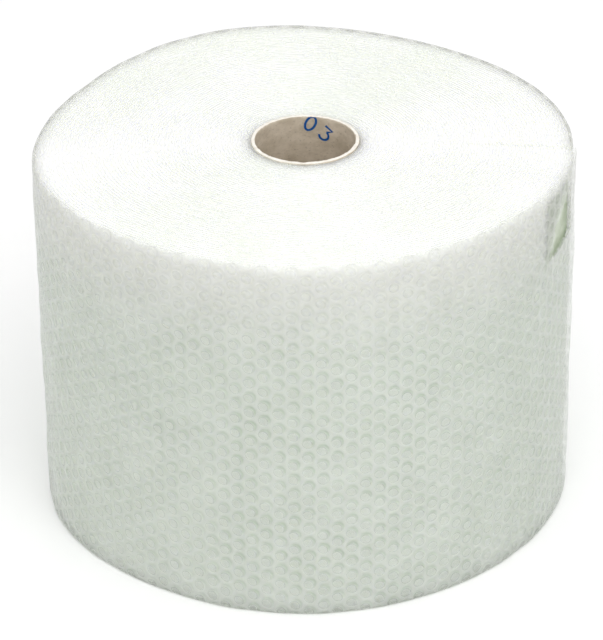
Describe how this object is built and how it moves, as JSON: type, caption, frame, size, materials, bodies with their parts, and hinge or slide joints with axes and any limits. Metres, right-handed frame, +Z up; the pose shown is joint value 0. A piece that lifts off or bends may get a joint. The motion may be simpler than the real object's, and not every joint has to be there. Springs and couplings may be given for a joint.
{
  "type": "bubble wrap roll",
  "caption": "Roll of clear air-bubble cushioning film wound on a paperboard tube, standing on its end, with a bore for a dispenser spindle.",
  "frame": {"origin": "on the tube's axis, at the base that the roll stands on", "axes": "+Z up along the tube's axis; +X towards the side where the film's cut end lies"},
  "size_m": [0.4153, 0.4139, 0.3],
  "materials": {
    "film": "clear polyethylene film, glossy, pale greenish white in the roll",
    "paperboard": "grey-brown spiral-wound board, matt"
  },
  "bodies": {
    "root": {"bubble_wrap": "film", "core_tube": "paperboard"}
  },
  "joints": []
}
